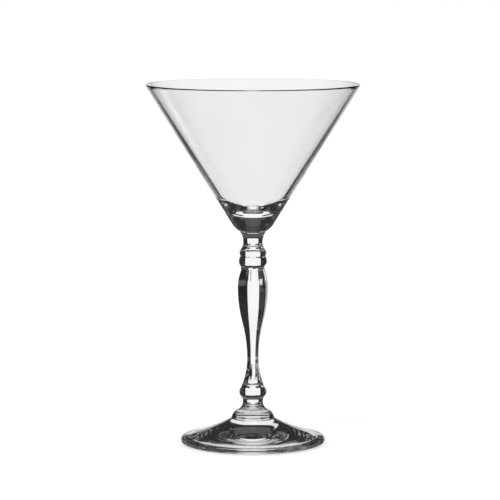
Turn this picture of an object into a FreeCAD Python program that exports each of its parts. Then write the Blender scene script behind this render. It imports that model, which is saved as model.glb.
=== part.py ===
import FreeCAD, Part
import math
import os
import Sketcher

# A stemmed cocktail glass in clear glass, made of three pieces that are fused hot:
# a blown conical bowl, a pressed faceted stem and a domed foot.
# Millimetres, +Z up.  The origin is on the axis, on the table under the foot.

# Heights with "height" in their name are measured up from the table.  A "drop" is measured
# down from the joint between bowl and stem, a "rise" up from the joint between stem and foot.
driving_sizes = {
    # whole glass
    "overall_height": 174.0,
    "rim_radius": 51.5,
    "foot_radius": 35.0,
    # bowl
    "bowl_depth": 71.0,             # from the rim down to the joint with the stem
    "lip_radius": 0.45,
    "base_ball_radius": 12.0,       # outside of the rounded base
    "inside_ball_radius": 19.0,     # rounded bottom of the inside
    "base_thickness": 9.6,
    # joint between bowl and stem
    "seam_radius": 6.3,
    # stem, upper part
    "neck_radius": 4.65,
    "neck_drop": 5.3,
    "collar_radius": 5.9,
    "collar_drop": 8.7,
    "bead_curve": 2.8,
    "groove_radius": 6.0,
    "groove_drop": 11.9,
    "ring_curve": 4.6,
    "shoulder_radius": 6.05,
    "shoulder_drop": 17.0,
    # stem, faceted baluster
    "belly_radius": 8.0,
    "belly_drop": 27.0,
    "waist_radius": 3.1,
    "waist_rise": 29.5,
    "facet_count": 6,
    "facet_turn": -8.0,             # degrees about the axis
    "arris_inset": 0.12,            # how far the sharp corners lie inside the round blank
    "facet_reach": 12.0,            # how far out the facet cut goes
    "facet_head_drop": 18.6,        # where a facet starts to run out under the beads
    "facet_head_sink": 0.75,        # how far a facet lies inside the shoulder there
    "facet_head_curve": 4.0,
    "facet_toe_rise": 14.0,         # where a facet has run out past the knop
    "facet_toe_radius": 6.4,
    # stem, lower part
    "knop_top_radius": 5.6,
    "knop_top_rise": 15.2,
    "knop_curve": 3.0,
    "knop_foot_radius": 5.5,
    "knop_foot_rise": 10.6,
    "ankle_radius": 4.85,
    "ankle_rise": 8.1,
    "bell_radius": 10.3,
    # foot
    "foot_height": 12.0,            # table to the joint with the stem
    "foot_ledge": 0.3,              # how far the foot's boss stands out past the bell
    "foot_edge_radius": 1.5,
    "foot_edge_height": 1.7,        # middle of the rounded edge
    "foot_top_curve": 78.0,
    "rest_outer_inset": 2.0,        # resting ring, measured in from the foot's edge
    "rest_inner_inset": 4.0,
    "hollow_height": 2.6,           # rise of the hollow under the foot
}

sheet_name = "Sizes"
doc = FreeCAD.newDocument("MartiniGlass")


def add_sheet():
    sheet = doc.addObject("Spreadsheet::Sheet", sheet_name)
    for row, (word, value) in enumerate(driving_sizes.items(), start=1):
        sheet.set("A%d" % row, word.replace("_", " "))
        sheet.set("B%d" % row, str(value))
        sheet.setAlias("B%d" % row, word)
    doc.recompute()
    return sheet


class Size:
    """A number together with the sheet expression that it comes from."""

    def __init__(self, value, text):
        self.value = value
        self.text = text

    def joined(self, sign, other, value):
        return Size(value, "(%s %s %s)" % (self.text, sign, other.text))

    def __add__(self, other):
        return self.joined("+", other, self.value + other.value)

    def __sub__(self, other):
        return self.joined("-", other, self.value - other.value)

    def __mul__(self, other):
        return self.joined("*", other, self.value * other.value)


def size(word):
    return Size(float(driving_sizes[word]), "%s.%s" % (sheet_name, word))


half = Size(0.5, "0.5")
two = Size(2.0, "2")

seam_height = size("overall_height") - size("bowl_depth")
foot_top = size("foot_height")
# distance from the axis to the middle of a flat side, for a corner at distance 1
flat_share = Size(math.cos(math.pi / driving_sizes["facet_count"]),
                  "cos(180deg / %s.facet_count)" % sheet_name)


def below_seam(word):
    return seam_height - size(word)


def above_foot(word):
    return foot_top + size(word)


def tangent_corners(ball_centre, ball_radius, lip_centre, lip_offset):
    """Where a straight wall leaves the ball and meets the lip, as plain (radius, height) pairs."""
    across = lip_centre[0] - ball_centre[0]
    up = lip_centre[1] - ball_centre[1]
    lean = math.acos((ball_radius - lip_offset) / math.hypot(across, up)) - math.atan2(up, across)
    normal = (math.cos(lean), -math.sin(lean))
    on_ball = [c + ball_radius * n for c, n in zip(ball_centre, normal)]
    on_lip = [c + lip_offset * n for c, n in zip(lip_centre, normal)]
    return on_ball, on_lip


class Outline:
    """A closed outline on a body's XZ plane: sketch x is the radius, sketch y is the height."""

    def __init__(self, body, name):
        self.sketch = body.newObject("Sketcher::SketchObject", name)
        self.sketch.AttachmentSupport = [(origin_feature(body, "XZ_Plane"), "")]
        self.sketch.MapMode = "FlatFace"
        self.edges = []

    def bind(self, kind, items, value):
        index = self.sketch.addConstraint(Sketcher.Constraint(kind, *items, value.value))
        self.sketch.setExpression("Constraints[%d]" % index, value.text)

    def end_near(self, edge, point):
        gaps = [(self.sketch.getPoint(edge, end) - FreeCAD.Vector(point[0], point[1], 0)).Length
                for end in (1, 2)]
        return 1 if gaps[0] < gaps[1] else 2

    def line(self, start, end):
        segment = Part.LineSegment(FreeCAD.Vector(*start, 0), FreeCAD.Vector(*end, 0))
        self.edges.append((self.sketch.addGeometry(segment, False), start, end))
        return self.edges[-1][0]

    def arc(self, start, end, centre, side=None):
        """The arc from start to end around centre, on the given side or else the shorter one."""
        radius = math.dist(start, centre)
        middle = side or [(s + e) / 2 - c for s, e, c in zip(start, end, centre)]
        scale = radius / math.hypot(*middle)
        middle = [c + m * scale for c, m in zip(centre, middle)]
        curve = Part.Arc(*[FreeCAD.Vector(*point, 0) for point in (start, middle, end)])
        self.edges.append((self.sketch.addGeometry(curve, False), start, end))
        return self.edges[-1][0]

    def fix(self, radius, height):
        """Hold the far end of the last edge at this radius and height."""
        edge, _, end = self.edges[-1]
        spot = (edge, self.end_near(edge, end))
        if radius is None:
            self.sketch.addConstraint(Sketcher.Constraint("PointOnObject", *spot, -2))
        else:
            self.bind("DistanceX", (-1, 1) + spot, radius)
        self.bind("DistanceY", (-1, 1) + spot, height)

    def join(self, smooth=()):
        """Join each edge to the next and close the outline.

        The corners whose numbers are in smooth are tangent, the others are plain corners.
        """
        count = len(self.edges)
        for number in range(count):
            edge, _, corner = self.edges[number]
            after = self.edges[(number + 1) % count][0]
            pair = (edge, self.end_near(edge, corner), after, self.end_near(after, corner))
            kind = "Tangent" if number in smooth else "Coincident"
            self.sketch.addConstraint(Sketcher.Constraint(kind, *pair))

    # edges whose corners come from the sheet

    def line_to(self, start, radius, height):
        self.line(plain(start), plain((radius, height)))
        self.fix(radius, height)
        return radius, height

    def bulge_to(self, start, radius, height, curve):
        """An arc of a given radius that stands out from the axis between its two corners."""
        first, last = plain(start), plain((radius, height))
        chord = math.dist(first, last)
        inward = math.sqrt(curve.value ** 2 - chord ** 2 / 4)
        centre = ((first[0] + last[0]) / 2 - inward * (first[1] - last[1]) / chord,
                  (first[1] + last[1]) / 2 + inward * (first[0] - last[0]) / chord)
        edge = self.arc(first, last, centre)
        self.fix(radius, height)
        self.bind("Radius", (edge,), curve)
        return radius, height

    def level_arc_to(self, start, radius, height, level, free=False):
        """An arc that runs upright at the height level, where its centre is."""
        first, last = plain(start), plain((radius, height))
        rise, fall = first[1] - level.value, last[1] - level.value
        across = (last[0] ** 2 + fall ** 2 - first[0] ** 2 - rise ** 2) / (last[0] - first[0]) / 2
        edge = self.arc(first, last, (across, level.value))
        self.bind("DistanceY", (-1, 1, edge, 3), level)
        if free:
            spot = (edge, self.end_near(edge, last))
            self.bind("DistanceY", (-1, 1) + spot, height)
        else:
            self.fix(radius, height)
        return radius, height

    def ogee_to(self, start, radius, height):
        """Two equal arcs that bend opposite ways, upright at both ends."""
        middle = ((start[0] + radius) * half, (start[1] + height) * half)
        self.level_arc_to(start, *middle, level=start[1], free=True)
        corner = len(self.edges) - 1
        self.level_arc_to(middle, radius, height, level=height)
        return (radius, height), corner


def plain(corner):
    return tuple(part.value if isinstance(part, Size) else 0.0 for part in corner)


def origin_feature(body, role):
    return next(item for item in body.Origin.OriginFeatures if item.Role == role)


def add_body(name):
    body = doc.addObject("PartDesign::Body", name)
    body.Label = name
    return body


def revolve(body, outline, name):
    feature = body.newObject("PartDesign::Revolution", name)
    feature.Profile = outline.sketch
    feature.ReferenceAxis = (outline.sketch, ["V_Axis"])
    feature.Angle = 360
    outline.sketch.Visibility = False
    return feature


def add_bowl():
    """Blown cone: ball-shaped base, straight walls, rounded lip, thick solid bottom."""
    body = add_body("bowl")
    outline = Outline(body, "bowl_section")
    seam_radius = size("seam_radius")
    ball = size("base_ball_radius")
    inside_ball = size("inside_ball_radius")
    lip = size("lip_radius")
    lip_across = size("rim_radius") - lip
    lip_up = size("overall_height") - lip
    inside_bottom = seam_height + size("base_thickness")
    seam = plain((seam_radius, seam_height))
    lip_centre = plain((lip_across, lip_up))
    ball_centre = (0.0, seam[1] + math.sqrt(ball.value ** 2 - seam[0] ** 2))
    inside_centre = (0.0, inside_bottom.value + inside_ball.value)
    outer_foot, outer_head = tangent_corners(ball_centre, ball.value, lip_centre, lip.value)
    inner_foot, inner_head = tangent_corners(inside_centre, inside_ball.value, lip_centre, -lip.value)

    corner = outline.line_to((None, seam_height), seam_radius, seam_height)
    base_edge = outline.arc(plain(corner), outer_foot, ball_centre)
    outline.line(outer_foot, outer_head)
    lip_edge = outline.arc(outer_head, inner_head, lip_centre, side=(0.0, 1.0))
    outline.line(inner_head, inner_foot)
    inside_edge = outline.arc(inner_foot, (0.0, inside_bottom.value), inside_centre)
    outline.fix(None, inside_bottom)
    outline.line_to((None, inside_bottom), None, seam_height)

    for edge, curve in ((base_edge, ball), (inside_edge, inside_ball)):
        outline.sketch.addConstraint(Sketcher.Constraint("PointOnObject", edge, 3, -2))
        outline.bind("Radius", (edge,), curve)
    outline.bind("Radius", (lip_edge,), lip)
    outline.bind("DistanceX", (-1, 1, lip_edge, 3), lip_across)
    outline.bind("DistanceY", (-1, 1, lip_edge, 3), lip_up)
    outline.join(smooth=(1, 2, 3, 4))
    revolve(body, outline, "bowl_blown")
    return body


def add_stem():
    """Pressed stem: round blank with neck, beads, knop and bell, then flats around the baluster."""
    body = add_body("stem")
    belly_height = below_seam("belly_drop")
    waist_height = above_foot("waist_rise")

    blank = Outline(body, "stem_section")
    corner = blank.line_to((None, seam_height), size("seam_radius"), seam_height)
    neck_height = below_seam("neck_drop")
    corner = blank.level_arc_to(corner, size("neck_radius"), neck_height, level=neck_height)
    corner = blank.level_arc_to(corner, size("collar_radius"), below_seam("collar_drop"),
                                level=neck_height)
    corner = blank.bulge_to(corner, size("groove_radius"), below_seam("groove_drop"),
                            size("bead_curve"))
    corner = blank.bulge_to(corner, size("shoulder_radius"), below_seam("shoulder_drop"),
                            size("ring_curve"))
    corner = blank.level_arc_to(corner, size("belly_radius"), belly_height, level=belly_height)
    corner, belly_bend = blank.ogee_to(corner, size("waist_radius"), waist_height)
    corner = blank.level_arc_to(corner, size("knop_top_radius"), above_foot("knop_top_rise"),
                                level=waist_height)
    corner = blank.bulge_to(corner, size("knop_foot_radius"), above_foot("knop_foot_rise"),
                            size("knop_curve"))
    ankle_height = above_foot("ankle_rise")
    corner = blank.level_arc_to(corner, size("ankle_radius"), ankle_height, level=ankle_height)
    corner, bell_bend = blank.ogee_to(corner, size("bell_radius"), foot_top)
    corner = blank.line_to(corner, None, foot_top)
    blank.line_to(corner, None, seam_height)
    blank.join(smooth=(belly_bend, bell_bend))
    revolve(body, blank, "stem_blank")

    facet = Outline(body, "facet_section")
    inset = size("arris_inset")
    head_height = below_seam("facet_head_drop")
    head_radius = (size("shoulder_radius") - size("facet_head_sink"))
    head_curve = size("facet_head_curve")
    reach = size("facet_reach")
    start = (head_radius + head_curve, head_height + head_curve)
    corner = facet.level_arc_to(start, head_radius, head_height, level=head_height)
    corner = facet.level_arc_to(corner, (size("belly_radius") - inset) * flat_share, belly_height,
                                level=belly_height)
    corner, facet_bend = facet.ogee_to(corner, (size("waist_radius") - inset) * flat_share,
                                       waist_height)
    corner = facet.level_arc_to(corner, size("facet_toe_radius"), above_foot("facet_toe_rise"),
                                level=waist_height)
    corner = facet.line_to(corner, reach, corner[1])
    corner = facet.line_to(corner, reach, start[1])
    facet.line_to(corner, *start)
    facet.join(smooth=(facet_bend,))

    cut = body.newObject("PartDesign::Pocket", "facet")
    cut.Profile = facet.sketch
    cut.SideType = "Symmetric"
    cut.setExpression("Length", (reach * two).text)
    facet.sketch.Visibility = False
    doc.recompute()
    pattern = body.newObject("PartDesign::PolarPattern", "facets")
    pattern.Originals = [cut]
    pattern.Axis = (origin_feature(body, "Z_Axis"), [""])
    pattern.Angle = 360
    pattern.setExpression("Occurrences", size("facet_count").text)
    body.Tip = pattern
    body.Placement.Rotation = FreeCAD.Rotation(FreeCAD.Vector(0, 0, 1), size("facet_turn").value)
    return body


def add_foot():
    """Domed disc with a boss for the stem, a thick round edge and a hollow underneath."""
    body = add_body("foot")
    outline = Outline(body, "foot_section")
    edge = size("foot_edge_radius")
    edge_across = size("foot_radius") - edge
    edge_up = size("foot_edge_height")
    top_curve = size("foot_top_curve")
    hollow_top = size("hollow_height")
    rest_inner = size("foot_radius") - size("rest_inner_inset")
    rest_outer = size("foot_radius") - size("rest_outer_inset")
    boss_radius = size("bell_radius") + size("foot_ledge")
    table = Size(0.0, "0")

    # hollow: an arc around a centre on the axis below the table
    hollow_radius = (rest_inner.value ** 2 + hollow_top.value ** 2) / hollow_top.value / 2
    hollow_edge = outline.arc((0.0, hollow_top.value), plain((rest_inner, table)),
                              (0.0, hollow_top.value - hollow_radius))
    outline.sketch.addConstraint(Sketcher.Constraint("PointOnObject", hollow_edge, 3, -2))
    outline.fix(rest_inner, table)
    corner = outline.line_to((rest_inner, table), rest_outer, table)

    # bevel from the resting ring to the round edge
    edge_centre = plain((edge_across, edge_up))
    start = plain(corner)
    apart = math.dist(start, edge_centre)
    towards = math.atan2(start[1] - edge_centre[1], start[0] - edge_centre[0])
    swing = towards + math.acos(edge.value / apart)
    bevel_end = [c + edge.value * d for c, d in zip(edge_centre, (math.cos(swing), math.sin(swing)))]
    outline.line(start, bevel_end)

    # top: a wide hollow curve from the round edge up to the boss, its centre above the foot
    boss = plain((boss_radius, foot_top))
    span = math.dist(boss, edge_centre)
    far = top_curve.value + edge.value
    along = (far ** 2 - top_curve.value ** 2 + span ** 2) / span / 2
    aside = math.sqrt(far ** 2 - along ** 2)
    to_boss = [(b - c) / span for b, c in zip(boss, edge_centre)]
    top_centre = (edge_centre[0] + along * to_boss[0] + aside * to_boss[1],
                  edge_centre[1] + along * to_boss[1] - aside * to_boss[0])
    edge_end = [c + edge.value / far * (t - c) for c, t in zip(edge_centre, top_centre)]
    edge_arc = outline.arc(bevel_end, edge_end, edge_centre)
    top_arc = outline.arc(edge_end, boss, top_centre)
    outline.fix(boss_radius, foot_top)
    corner = outline.line_to((boss_radius, foot_top), None, foot_top)
    outline.line_to(corner, None, hollow_top)

    outline.bind("Radius", (edge_arc,), edge)
    outline.bind("DistanceX", (-1, 1, edge_arc, 3), edge_across)
    outline.bind("DistanceY", (-1, 1, edge_arc, 3), edge_up)
    outline.bind("Radius", (top_arc,), top_curve)
    outline.join(smooth=(2, 3))
    revolve(body, outline, "foot_pressed")
    return body


def check_and_export(bodies):
    doc.recompute()
    for item in doc.Objects:
        if "Invalid" in item.State or "Error" in item.State:
            raise RuntimeError("%s is %s" % (item.Label, item.State))
        if item.isDerivedFrom("Sketcher::SketchObject") and not item.FullyConstrained:
            raise RuntimeError("%s is not fully constrained" % item.Label)
    os.makedirs("parts", exist_ok=True)
    for body in bodies:
        shape = body.Shape
        if shape.isNull() or not shape.isValid() or len(shape.Solids) != 1:
            raise RuntimeError("%s has no single valid solid" % body.Label)
        print("%-5s volume %9.1f mm3, top %6.2f, bottom %6.2f"
              % (body.Label, shape.Volume, shape.BoundBox.ZMax, shape.BoundBox.ZMin))
    blank, cut = doc.getObject("stem_blank"), doc.getObject("facets")
    if cut.Shape.Volume >= blank.Shape.Volume:
        raise RuntimeError("the facets cut nothing")
    for body in bodies:
        body.Shape.exportStep("parts/%s.step" % body.Label)


add_sheet()
check_and_export([add_bowl(), add_stem(), add_foot()])
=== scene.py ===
import bpy
import math
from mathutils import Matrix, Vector


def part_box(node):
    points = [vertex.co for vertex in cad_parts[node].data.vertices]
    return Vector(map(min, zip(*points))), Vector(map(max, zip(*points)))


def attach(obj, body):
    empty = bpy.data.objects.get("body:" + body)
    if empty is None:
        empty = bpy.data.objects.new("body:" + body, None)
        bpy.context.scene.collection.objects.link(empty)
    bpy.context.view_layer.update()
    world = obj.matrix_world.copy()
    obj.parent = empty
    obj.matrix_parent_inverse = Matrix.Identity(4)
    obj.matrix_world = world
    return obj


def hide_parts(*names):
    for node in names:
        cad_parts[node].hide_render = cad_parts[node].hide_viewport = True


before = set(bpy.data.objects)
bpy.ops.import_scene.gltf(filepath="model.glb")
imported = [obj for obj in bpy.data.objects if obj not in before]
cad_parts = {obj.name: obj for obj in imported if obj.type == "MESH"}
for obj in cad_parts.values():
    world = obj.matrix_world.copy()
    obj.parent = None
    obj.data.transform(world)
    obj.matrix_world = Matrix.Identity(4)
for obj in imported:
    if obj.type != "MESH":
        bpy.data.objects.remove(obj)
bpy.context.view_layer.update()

mm = 0.001
glassSteps = 192            # points round every ring; the three pieces share it, so that their seams meet
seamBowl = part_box("bowl")[0].z / mm
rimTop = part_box("bowl")[1].z / mm
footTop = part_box("foot")[1].z / mm


# Outlines are lists of (radius, height) in millimetres, run so that the outside is on the right.

def arcRun(centre, radius, start, end, step=3.0):
    pieces = max(3, int(abs(end - start) / step) + 1)
    turns = [math.radians(start + (end - start) * i / pieces) for i in range(pieces + 1)]
    return [(centre[0] + radius * math.cos(t), centre[1] + radius * math.sin(t)) for t in turns]


def arcBetween(first, last, centre, step=3.0):
    start = math.degrees(math.atan2(first[1] - centre[1], first[0] - centre[0]))
    end = math.degrees(math.atan2(last[1] - centre[1], last[0] - centre[0]))
    end = start + (end - start + 180) % 360 - 180
    return arcRun(centre, math.dist(first, centre), start, end, step)


def straightRun(first, last, spacing):
    pieces = max(1, int(math.dist(first, last) / spacing))
    return [tuple(a + (b - a) * i / pieces for a, b in zip(first, last)) for i in range(pieces + 1)]


def uprightArc(first, last, level):
    # an arc that stands upright at the height level
    rise, fall = first[1] - level, last[1] - level
    across = (last[0] ** 2 + fall ** 2 - first[0] ** 2 - rise ** 2) / (last[0] - first[0]) / 2
    return arcBetween(first, last, (across, level))


def bead(first, last, curve):
    # a bulge of radius curve that stands out between two points, run upwards
    chord = math.dist(first, last)
    inward = math.sqrt(curve ** 2 - chord ** 2 / 4)
    centre = ((first[0] + last[0]) / 2 - inward * (last[1] - first[1]) / chord,
              (first[1] + last[1]) / 2 + inward * (last[0] - first[0]) / chord)
    return arcBetween(first, last, centre)


def ogee(first, last):
    middle = ((first[0] + last[0]) / 2, (first[1] + last[1]) / 2)
    return uprightArc(first, middle, first[1]) + uprightArc(middle, last, last[1])


def wallLean(ballCentre, ballRadius, lipCentre, lipOffset):
    # degrees by which a straight wall that touches both the ball and the lip leans out from upright
    across, up = lipCentre[0] - ballCentre[0], lipCentre[1] - ballCentre[1]
    lean = math.acos((ballRadius - lipOffset) / math.hypot(across, up)) - math.atan2(up, across)
    return math.degrees(lean)


def joined(*runs):
    points = []
    for run in runs:
        for point in run:
            if not points or math.dist(point, points[-1]) > 1e-4:
                points.append(point)
    return points


def turnedMesh(name, outline, radiusAt=None, turn=0.0):
    # spins an outline round the axis; a point on the axis closes the surface there
    verts, faces, rings = [], [], []
    for radius, height in outline:
        if radius < 1e-4:
            rings.append([len(verts)])
            verts.append((0.0, 0.0, height * mm))
            continue
        rings.append(list(range(len(verts), len(verts) + glassSteps)))
        for step in range(glassSteps):
            angle = 2 * math.pi * step / glassSteps
            r = radiusAt(radius, height, angle) if radiusAt else radius
            verts.append((r * math.cos(angle + turn) * mm, r * math.sin(angle + turn) * mm, height * mm))
    for lower, upper in zip(rings, rings[1:]):
        for step in range(glassSteps):
            after = (step + 1) % glassSteps
            if len(lower) == 1:
                faces.append((lower[0], upper[after], upper[step]))
            elif len(upper) == 1:
                faces.append((lower[step], lower[after], upper[0]))
            else:
                faces.append((lower[step], lower[after], upper[after], upper[step]))
    mesh = bpy.data.meshes.new(name)
    mesh.from_pydata(verts, [], faces)
    mesh.polygons.foreach_set("use_smooth", [True] * len(faces))
    mesh.update()
    obj = bpy.data.objects.new(name, mesh)
    bpy.context.scene.collection.objects.link(obj)
    return obj


# Stem
stemValues = {
    "seamRadius": 6.3,
    "neckRadius": 4.65, "neckDrop": 5.3,
    "collarRadius": 5.9, "collarDrop": 8.7, "beadCurve": 2.8,
    "grooveRadius": 6.0, "grooveDrop": 11.9, "ringCurve": 4.6,
    "shoulderRadius": 6.05, "shoulderDrop": 17.0,
    "bellyRadius": 8.0, "bellyDrop": 27.0,
    "waistRadius": 3.1, "waistRise": 29.5,
    "facetCount": 6, "facetTurn": -8.0, "arrisInset": 0.12,
    "headDrop": 18.6, "headSink": 0.75, "headCurve": 4.0,
    "toeRise": 14.0, "toeRadius": 6.4,
    "knopTopRadius": 5.6, "knopTopRise": 15.2, "knopCurve": 3.0,
    "knopFootRadius": 5.5, "knopFootRise": 10.6,
    "ankleRadius": 4.85, "ankleRise": 8.1, "bellRadius": 10.3,
    "ringSpacing": 0.3,
    "flare": 0.3, "flareHeight": 1.3,     # the bell's toe runs out into the foot
    "arrisSoftness": 0.25, "runoutSoftness": 0.3,   # how far fire polishing rounds the facets' edges
    "clearRadius": 20.0, "runIn": 3.0,    # where the facets' cutter stays off the blank, past both of its ends
}


def makeStem(v):
    seam = (v["seamRadius"], seamBowl)
    neck = (v["neckRadius"], seamBowl - v["neckDrop"])
    collar = (v["collarRadius"], seamBowl - v["collarDrop"])
    groove = (v["grooveRadius"], seamBowl - v["grooveDrop"])
    shoulder = (v["shoulderRadius"], seamBowl - v["shoulderDrop"])
    belly = (v["bellyRadius"], seamBowl - v["bellyDrop"])
    waist = (v["waistRadius"], footTop + v["waistRise"])
    knopTop = (v["knopTopRadius"], footTop + v["knopTopRise"])
    knopFoot = (v["knopFootRadius"], footTop + v["knopFootRise"])
    ankle = (v["ankleRadius"], footTop + v["ankleRise"])
    bell = (v["bellRadius"], footTop)
    blank = joined(ogee(bell, ankle), uprightArc(ankle, knopFoot, ankle[1]),
                   bead(knopFoot, knopTop, v["knopCurve"]), uprightArc(knopTop, waist, waist[1]),
                   ogee(waist, belly), uprightArc(belly, shoulder, belly[1]),
                   bead(shoulder, groove, v["ringCurve"]), bead(groove, collar, v["beadCurve"]),
                   uprightArc(collar, neck, neck[1]), uprightArc(neck, seam, neck[1]))

    share = math.cos(math.pi / v["facetCount"])
    headRadius, head = v["shoulderRadius"] - v["headSink"], seamBowl - v["headDrop"]
    start = (headRadius + v["headCurve"], head + v["headCurve"])
    flatBelly = ((v["bellyRadius"] - v["arrisInset"]) * share, belly[1])
    flatWaist = ((v["waistRadius"] - v["arrisInset"]) * share, waist[1])
    toe = (v["toeRadius"], footTop + v["toeRise"])
    clear = v["clearRadius"]
    flat = joined([(clear, toe[1] - v["runIn"])], uprightArc(toe, flatWaist, waist[1]),
                  ogee(flatWaist, flatBelly), uprightArc(flatBelly, (headRadius, head), belly[1]),
                  uprightArc((headRadius, head), start, head), [(clear, start[1] + v["runIn"])])
    flatHeights = [p[1] for p in flat]

    def flatAt(height):
        if not flatHeights[0] < height < flatHeights[-1]:
            return clear
        low = next(i for i in range(len(flat)) if flatHeights[i] >= height)
        a, b = flat[low - 1], flat[low]
        return a[0] + (b[0] - a[0]) * (height - a[1]) / (b[1] - a[1])

    known = {}
    pitch = 2 * math.pi / v["facetCount"]

    def softMin(a, b, soft):
        near = max(soft - abs(a - b), 0.0) / soft
        return min(a, b) - near * near * soft / 4

    def radiusAt(radius, height, angle):
        if height not in known:
            known[height] = flatAt(height)
        reach = known[height]
        if reach > 1.5 * v["bellyRadius"]:
            return radius
        inFacet = (angle + pitch / 2) % pitch - pitch / 2
        beside = pitch - abs(inFacet)
        cut = softMin(reach / math.cos(inFacet), reach / math.cos(beside), v["arrisSoftness"])
        return softMin(cut, radius, v["runoutSoftness"])

    # rings close enough together for the beads and the facets' heads
    blank = [(r + v["flare"] * max(0.0, 1 - (h - footTop) / v["flareHeight"]) ** 2, h) for r, h in blank]
    rings = [blank[0]]
    for point in blank[1:]:
        for between in straightRun(rings[-1], point, v["ringSpacing"])[1:]:
            rings.append(between)
    return turnedMesh("stem", rings, radiusAt, math.radians(v["facetTurn"]))


# Bowl
bowlValues = {
    "ballRadius": 12.0, "insideBallRadius": 19.0, "baseThickness": 9.6, "lipRadius": 0.45,
    "wallSpacing": 1.5,
}


def makeBowl(v, seamRadius, turn):
    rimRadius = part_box("bowl")[1].x / mm
    lip = (rimRadius - v["lipRadius"], rimTop - v["lipRadius"])
    ball = (0.0, seamBowl + math.sqrt(v["ballRadius"] ** 2 - seamRadius ** 2))
    inside = (0.0, seamBowl + v["baseThickness"] + v["insideBallRadius"])
    outerLean = wallLean(ball, v["ballRadius"], lip, v["lipRadius"])
    innerLean = wallLean(inside, v["insideBallRadius"], lip, -v["lipRadius"])
    base = arcRun(ball, v["ballRadius"], math.degrees(math.atan2(seamBowl - ball[1], seamRadius)), -outerLean, 2)
    lipRun = arcRun(lip, v["lipRadius"], -outerLean, 180 - innerLean, 12)
    bottom = arcRun(inside, v["insideBallRadius"], -innerLean, -90, 2)
    outline = joined(base, straightRun(base[-1], lipRun[0], v["wallSpacing"]), lipRun,
                     straightRun(lipRun[-1], bottom[0], v["wallSpacing"]), bottom)
    outline[-1] = (0.0, seamBowl + v["baseThickness"])
    return turnedMesh("bowl", outline, None, turn)


# Foot
footValues = {
    "bossLedge": 0.3, "edgeRadius": 1.5, "edgeHeight": 1.7, "topCurve": 78.0,
    "restOuterInset": 2.0, "restInnerInset": 4.0, "hollowHeight": 3.2,
}


def makeFoot(v, bellRadius, turn):
    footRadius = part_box("foot")[1].x / mm
    restInner, restOuter = footRadius - v["restInnerInset"], footRadius - v["restOuterInset"]
    hollowRadius = (restInner ** 2 + v["hollowHeight"] ** 2) / v["hollowHeight"] / 2
    hollow = arcBetween((0.0, v["hollowHeight"]), (restInner, 0.0), (0.0, v["hollowHeight"] - hollowRadius), 0.4)
    edge = (footRadius - v["edgeRadius"], v["edgeHeight"])
    apart = math.dist((restOuter, 0.0), edge)
    swing = math.degrees(math.atan2(-edge[1], restOuter - edge[0]) + math.acos(v["edgeRadius"] / apart))
    boss = (bellRadius + v["bossLedge"], footTop)
    span = math.dist(boss, edge)
    far = v["topCurve"] + v["edgeRadius"]
    along = (far ** 2 - v["topCurve"] ** 2 + span ** 2) / span / 2
    aside = math.sqrt(far ** 2 - along ** 2)
    toBoss = [(b - c) / span for b, c in zip(boss, edge)]
    topCentre = (edge[0] + along * toBoss[0] + aside * toBoss[1], edge[1] + along * toBoss[1] - aside * toBoss[0])
    edgeEnd = math.degrees(math.atan2(topCentre[1] - edge[1], topCentre[0] - edge[0]))
    edgeRun = arcRun(edge, v["edgeRadius"], swing, edgeEnd, 6)
    top = arcBetween(edgeRun[-1], boss, topCentre, 0.4)
    outline = joined(hollow, straightRun(hollow[-1], (restOuter, 0.0), 0.5),
                     straightRun((restOuter, 0.0), edgeRun[0], 0.5), edgeRun, top)
    outline[0] = (0.0, v["hollowHeight"])
    return turnedMesh("foot", outline, None, turn)


facetTurn = math.radians(stemValues["facetTurn"])
bowl = makeBowl(bowlValues, stemValues["seamRadius"], facetTurn)
print("bowl made", len(bowl.data.polygons))
stem = makeStem(stemValues)
print("stem made", len(stem.data.polygons))
foot = makeFoot(footValues, stemValues["bellRadius"], facetTurn)
print("foot made", len(foot.data.polygons))

for piece, node, slot in ((bowl, "bowl", "blown_glass"), (stem, "stem", "pressed_glass"),
                          (foot, "foot", "foot_glass")):
    piece.name = node + "_glass"
    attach(piece, "root")
    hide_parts(node)


# Shading helpers

def newGroup(name, inputs, outputs):
    group = bpy.data.node_groups.new(name, "ShaderNodeTree")
    for word, kind, value in inputs:
        socket = group.interface.new_socket(word, in_out="INPUT", socket_type=kind)
        if value is not None:
            socket.default_value = value
    for word, kind in outputs:
        group.interface.new_socket(word, in_out="OUTPUT", socket_type=kind)
    return group, group.nodes.new("NodeGroupInput"), group.nodes.new("NodeGroupOutput")


def addNode(tree, kind, **settings):
    node = tree.nodes.new(kind)
    for word, value in settings.items():
        setattr(node, word, value)
    return node


def wire(tree, target, source):
    # source is a socket, or a plain value for the target socket
    if isinstance(source, bpy.types.NodeSocket):
        tree.links.new(source, target)
    else:
        target.default_value = source
    return target


def calc(tree, operation, *values, clamp=False):
    node = addNode(tree, "ShaderNodeMath", operation=operation, use_clamp=clamp)
    for socket, value in zip(node.inputs, values):
        wire(tree, socket, value)
    return node.outputs[0]


def ramp(tree, value, low, high, kind="SMOOTHSTEP"):
    node = addNode(tree, "ShaderNodeMapRange", interpolation_type=kind)
    wire(tree, node.inputs["Value"], value)
    wire(tree, node.inputs["From Min"], low)
    wire(tree, node.inputs["From Max"], high)
    return node.outputs[0]


# Studio: directions are degrees round the glass and above the table

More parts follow.
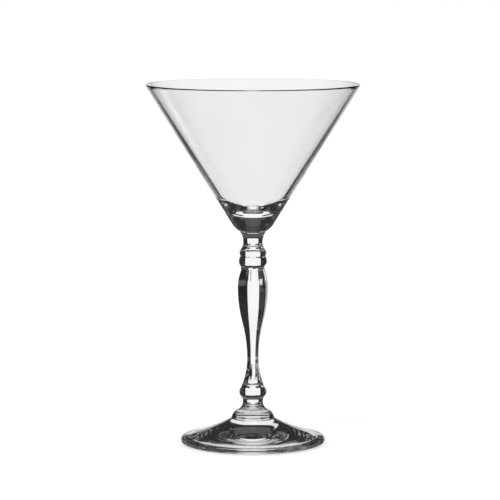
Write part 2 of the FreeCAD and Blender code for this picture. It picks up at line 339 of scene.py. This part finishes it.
studioValues = {
    "ambient": 0.45,            # what lights the floor
    "surround": 0.02,           # the dark room that the glass shows between the cards
    "reflected": 0.8,           # the share of the room that outer surfaces mirror
    "mirroredTable": 0.25,
    # each card is azimuth, half width, lowest, highest and edge, all in degrees, and brightness
    "cards": [
        (90.0, 24.0, -15.0, 10.0, 1.0, 1.0),      # behind the glass, at eye level
        (90.0, 10.0, -32.0, -10.0, 2.0, 1.0),     # narrower below it, which leaves the bowl's sides dark
        (90.0, 24.0, -95.0, -28.0, 2.0, 1.0),     # the table behind
        (90.0, 85.0, -95.0, -42.0, 3.0, 0.25),    # the table at both sides
        (90.0, 55.0, 16.0, 48.0, 4.0, 0.1),       # a dim ceiling
        (135.0, 9.0, -34.0, -17.0, 4.0, 0.8),     # small cards for the other sides
        (180.0, 9.0, -9.0, 5.0, 4.0, 0.8),
        (315.0, 9.0, -24.0, -7.0, 4.0, 0.8),
        (270.0, 9.0, -22.0, 0.0, 4.0, 0.8),
        (0.0, 9.0, -9.0, 5.0, 4.0, 0.8),
    ],
    "seenThroughBowl": (90.0, 200.0, -36.0, 20.0, 6.0),
    "mirroredFromBelow": (90.0, 200.0, -95.0, -14.0, 3.0),
}


def cardGroup():
    group, given, result = newGroup("lightCard", [
        ("Direction", "NodeSocketVector", None), ("Azimuth", "NodeSocketFloat", 90.0),
        ("Half Width", "NodeSocketFloat", 24.0), ("Lowest", "NodeSocketFloat", -10.0),
        ("Highest", "NodeSocketFloat", 30.0), ("Edge", "NodeSocketFloat", 2.0)], [("Mask", "NodeSocketFloat")])
    split = addNode(group, "ShaderNodeSeparateXYZ")
    group.links.new(given.outputs["Direction"], split.inputs[0])
    azimuth = calc(group, "DEGREES", calc(group, "ARCTAN2", split.outputs[1], split.outputs[0]))
    away = calc(group, "WRAP", calc(group, "SUBTRACT", azimuth, given.outputs["Azimuth"]), 180.0, -180.0)
    away = calc(group, "ABSOLUTE", away)
    elevation = calc(group, "DEGREES", calc(group, "ARCSINE", split.outputs[2]))
    edge = given.outputs["Edge"]
    sides = ramp(group, away, calc(group, "ADD", given.outputs["Half Width"], edge),
                 calc(group, "SUBTRACT", given.outputs["Half Width"], edge))
    below = ramp(group, elevation, calc(group, "SUBTRACT", given.outputs["Lowest"], edge),
                 calc(group, "ADD", given.outputs["Lowest"], edge))
    above = ramp(group, elevation, calc(group, "ADD", given.outputs["Highest"], edge),
                 calc(group, "SUBTRACT", given.outputs["Highest"], edge))
    mask = calc(group, "MULTIPLY", calc(group, "MULTIPLY", sides, below), above)
    group.links.new(mask, result.inputs["Mask"])
    return group


def placeCard(tree, card, direction, azimuth, halfWidth, lowest, highest, edge):
    node = addNode(tree, "ShaderNodeGroup", node_tree=card)
    tree.links.new(direction, node.inputs["Direction"])
    for word, value in (("Azimuth", azimuth), ("Half Width", halfWidth), ("Lowest", lowest),
                        ("Highest", highest), ("Edge", edge)):
        node.inputs[word].default_value = value
    return node.outputs["Mask"]


def makeWorld(v):
    world = bpy.data.worlds.new("studio")
    bpy.context.scene.world = world
    world.use_nodes = True
    tree = world.node_tree
    tree.nodes.clear()
    direction = addNode(tree, "ShaderNodeTexCoord").outputs["Generated"]
    path = addNode(tree, "ShaderNodeLightPath")
    card = cardGroup()
    light = v["surround"]
    for *place, brightness in v["cards"]:
        mask = placeCard(tree, card, direction, *place)
        light = calc(tree, "MAXIMUM", calc(tree, "MULTIPLY", mask, brightness), light)
    # four surfaces crossed means seen through the thin bowl, which shows the pale room on any side
    mask = placeCard(tree, card, direction, *v["seenThroughBowl"])
    throughBowl = calc(tree, "GREATER_THAN", path.outputs["Transmission Depth"], 3.5)
    light = calc(tree, "MAXIMUM", light, calc(tree, "MULTIPLY", throughBowl, mask))
    # refracted rays count as glossy too, so mirrored ones are what is left without them
    mirrored = calc(tree, "SUBTRACT", path.outputs["Is Glossy Ray"], path.outputs["Is Transmission Ray"],
                    clamp=True)
    # the bowl leans out, so its outside mirrors the pale table all round
    mask = placeCard(tree, card, direction, *v["mirroredFromBelow"])
    tableShine = calc(tree, "MULTIPLY", mask, v["mirroredTable"])
    light = calc(tree, "MAXIMUM", light, calc(tree, "MULTIPLY", mirrored, tableShine))
    dim = addNode(tree, "ShaderNodeMapRange")
    wire(tree, dim.inputs["Value"], mirrored)
    dim.inputs["To Min"].default_value = 1.0
    dim.inputs["To Max"].default_value = v["reflected"]
    light = calc(tree, "MULTIPLY", light, dim.outputs[0])
    seenInGlass = calc(tree, "MAXIMUM", path.outputs["Is Glossy Ray"], path.outputs["Is Transmission Ray"])
    inRoom = addNode(tree, "ShaderNodeMix", data_type="FLOAT")
    wire(tree, inRoom.inputs[0], seenInGlass)
    wire(tree, inRoom.inputs[2], v["ambient"])
    wire(tree, inRoom.inputs[3], light)
    seen = addNode(tree, "ShaderNodeMix", data_type="FLOAT")
    wire(tree, seen.inputs[0], path.outputs["Is Camera Ray"])
    wire(tree, seen.inputs[2], inRoom.outputs[0])
    wire(tree, seen.inputs[3], 1.0)
    shine = addNode(tree, "ShaderNodeBackground")
    shine.inputs["Color"].default_value = (1, 1, 1, 1)
    tree.links.new(seen.outputs[0], shine.inputs["Strength"])
    tree.links.new(shine.outputs[0], addNode(tree, "ShaderNodeOutputWorld").inputs[0])


# Materials
blownGlass = {"clearness": 0.995, "index": 1.5, "waveSize": 0.022, "waveStretch": 2.5, "waveDepth": 0.00004,
              "film": 0.012, "filmSize": 0.035}
pressedGlass = {"clearness": 0.99, "index": 1.5, "waveSize": 0.007, "waveStretch": 0.6, "waveDepth": 0.00006,
                "film": 0.006, "filmSize": 0.012}
footGlass = {"clearness": 0.99, "index": 1.5, "waveSize": 0.014, "waveStretch": 1.0, "waveDepth": 0.00020,
             "film": 0.010, "filmSize": 0.02}


def flowGroup():
    # slow waves left by hot forming, drawn out up or round the piece
    group, given, result = newGroup("glassFlow", [
        ("Wave Size", "NodeSocketFloat", 0.01), ("Stretch", "NodeSocketFloat", 1.0)],
        [("Height", "NodeSocketFloat")])
    place = addNode(group, "ShaderNodeTexCoord").outputs["Object"]
    drawn = addNode(group, "ShaderNodeCombineXYZ")
    across = calc(group, "DIVIDE", 1.0, given.outputs["Wave Size"])
    for i in (0, 1):
        group.links.new(across, drawn.inputs[i])
    group.links.new(calc(group, "DIVIDE", across, given.outputs["Stretch"]), drawn.inputs[2])
    scaled = addNode(group, "ShaderNodeVectorMath", operation="MULTIPLY")
    group.links.new(place, scaled.inputs[0])
    group.links.new(drawn.outputs[0], scaled.inputs[1])
    waves = addNode(group, "ShaderNodeTexNoise")
    group.links.new(scaled.outputs[0], waves.inputs["Vector"])
    waves.inputs["Scale"].default_value = 1.0
    waves.inputs["Detail"].default_value = 1.0
    waves.inputs["Roughness"].default_value = 0.35
    group.links.new(waves.outputs[0], result.inputs["Height"])
    return group


def filmGroup():
    # the faint film of wiping and handling: a little roughness in soft patches, and a trace of grey with it
    group, given, result = newGroup("handlingFilm", [
        ("Patch Size", "NodeSocketFloat", 0.02), ("Film", "NodeSocketFloat", 0.01),
        ("Clearness", "NodeSocketFloat", 0.99)], [("Roughness", "NodeSocketFloat"), ("Color", "NodeSocketColor")])
    place = addNode(group, "ShaderNodeTexCoord").outputs["Object"]
    patches = addNode(group, "ShaderNodeTexNoise")
    group.links.new(place, patches.inputs["Vector"])
    group.links.new(calc(group, "DIVIDE", 1.0, given.outputs["Patch Size"]), patches.inputs["Scale"])
    patches.inputs["Detail"].default_value = 3.0
    mask = ramp(group, patches.outputs[0], 0.5, 0.8)
    group.links.new(calc(group, "MULTIPLY", mask, given.outputs["Film"]), result.inputs["Roughness"])
    grey = calc(group, "SUBTRACT", given.outputs["Clearness"], calc(group, "MULTIPLY", mask, 0.02))
    shade = addNode(group, "ShaderNodeCombineColor")
    for i in range(3):
        group.links.new(grey, shade.inputs[i])
    group.links.new(shade.outputs[0], result.inputs["Color"])
    return group


flow, film = flowGroup(), filmGroup()
lampShare = 0.93            # how much of the lamps' light each surface lets on to the floor


def makeGlass(name, v):
    material = bpy.data.materials.new(name)
    material.use_nodes = True
    tree = material.node_tree
    tree.nodes.clear()
    body = addNode(tree, "ShaderNodeBsdfPrincipled")
    body.inputs["IOR"].default_value = v["index"]
    body.inputs["Transmission Weight"].default_value = 1.0
    handled = addNode(tree, "ShaderNodeGroup", node_tree=film)
    handled.inputs["Patch Size"].default_value = v["filmSize"]
    handled.inputs["Film"].default_value = v["film"]
    handled.inputs["Clearness"].default_value = v["clearness"]
    tree.links.new(handled.outputs["Color"], body.inputs["Base Color"])
    tree.links.new(handled.outputs["Roughness"], body.inputs["Roughness"])
    waves = addNode(tree, "ShaderNodeGroup", node_tree=flow)
    waves.inputs["Wave Size"].default_value = v["waveSize"]
    waves.inputs["Stretch"].default_value = v["waveStretch"]
    bump = addNode(tree, "ShaderNodeBump")
    bump.inputs["Strength"].default_value = 1.0
    bump.inputs["Distance"].default_value = v["waveDepth"]
    tree.links.new(waves.outputs["Height"], bump.inputs["Height"])
    tree.links.new(bump.outputs["Normal"], body.inputs["Normal"])
    # lamps shine through, so that the glass casts only a light shadow
    through = addNode(tree, "ShaderNodeBsdfTransparent")
    through.inputs["Color"].default_value = (lampShare, lampShare, lampShare, 1)
    path = addNode(tree, "ShaderNodeLightPath")
    mix = addNode(tree, "ShaderNodeMixShader")
    tree.links.new(path.outputs["Is Shadow Ray"], mix.inputs[0])
    tree.links.new(body.outputs[0], mix.inputs[1])
    tree.links.new(through.outputs[0], mix.inputs[2])
    tree.links.new(mix.outputs[0], addNode(tree, "ShaderNodeOutputMaterial").inputs[0])
    return material


for piece, name, values in ((bowl, "blownGlass", blownGlass), (stem, "pressedGlass", pressedGlass),
                            (foot, "footGlass", footGlass)):
    piece.data.materials.append(makeGlass(name, values))
print("glass ready")


# Floor
floorValues = {"reach": 6.0, "drop": 0.0002, "paleness": 0.9, "roughness": 0.9, "lift": 0.3}


def makeFloor(v):
    reach, drop = v["reach"], -v["drop"]
    corners = [(-reach, -reach, drop), (reach, -reach, drop), (reach, reach, drop), (-reach, reach, drop)]
    mesh = bpy.data.meshes.new("floor")
    mesh.from_pydata(corners, [], [(0, 1, 2, 3)])
    obj = bpy.data.objects.new("floor", mesh)
    bpy.context.scene.collection.objects.link(obj)
    material = bpy.data.materials.new("paleFloor")
    material.use_nodes = True
    tree = material.node_tree
    body = tree.nodes["Principled BSDF"]
    body.inputs["Base Color"].default_value = (v["paleness"], v["paleness"], v["paleness"], 1)
    body.inputs["Roughness"].default_value = v["roughness"]
    # lifts the floor to white for the camera only, so the shadow stays and the glass gets no more light
    lift = addNode(tree, "ShaderNodeEmission")
    path = addNode(tree, "ShaderNodeLightPath")
    wire(tree, lift.inputs["Strength"], calc(tree, "MULTIPLY", path.outputs["Is Camera Ray"], v["lift"]))
    both = addNode(tree, "ShaderNodeAddShader")
    tree.links.new(body.outputs[0], both.inputs[0])
    tree.links.new(lift.outputs[0], both.inputs[1])
    tree.links.new(both.outputs[0], tree.nodes["Material Output"].inputs[0])
    mesh.materials.append(material)
    obj.visible_transmission = False
    obj.visible_glossy = False


# Lamp
lampValues = {"strength": 1.6, "softness": 25.0, "tilt": 28.0, "turn": -35.0}


def addLamp(v):
    data = bpy.data.lights.new("softKey", "SUN")
    data.energy = v["strength"]
    data.angle = math.radians(v["softness"])
    lamp = bpy.data.objects.new("softKey", data)
    lamp.rotation_euler = (math.radians(v["tilt"]), 0, math.radians(v["turn"]))
    lamp.visible_transmission = False
    lamp.visible_glossy = False
    bpy.context.scene.collection.objects.link(lamp)


# Camera, in metres from the middle of the foot
cameraValues = {
    "lens": 208.3, "sensor": 36.0,
    "distance": 1.386, "height": 0.25373,
    "aimAcross": -0.00139, "aimHeight": 0.09393,
}


def addCamera(v):
    data = bpy.data.cameras.new("camera")
    data.sensor_width = v["sensor"]
    data.lens = v["lens"]
    camera = bpy.data.objects.new("camera", data)
    camera.location = (0, -v["distance"], v["height"])
    aim = Vector((v["aimAcross"], 0, v["aimHeight"]))
    camera.rotation_euler = (aim - camera.location).to_track_quat("-Z", "Y").to_euler()
    bpy.context.scene.collection.objects.link(camera)
    bpy.context.scene.camera = camera


makeWorld(studioValues)
makeFloor(floorValues)
addCamera(cameraValues)
addLamp(lampValues)
print("studio ready")

bpy.context.scene.view_settings.view_transform = "Standard"
glassBounces = 32           # the foot and stem stay black with fewer
bpy.context.scene.cycles.max_bounces = glassBounces
bpy.context.scene.cycles.glossy_bounces = glassBounces
bpy.context.scene.cycles.transmission_bounces = glassBounces
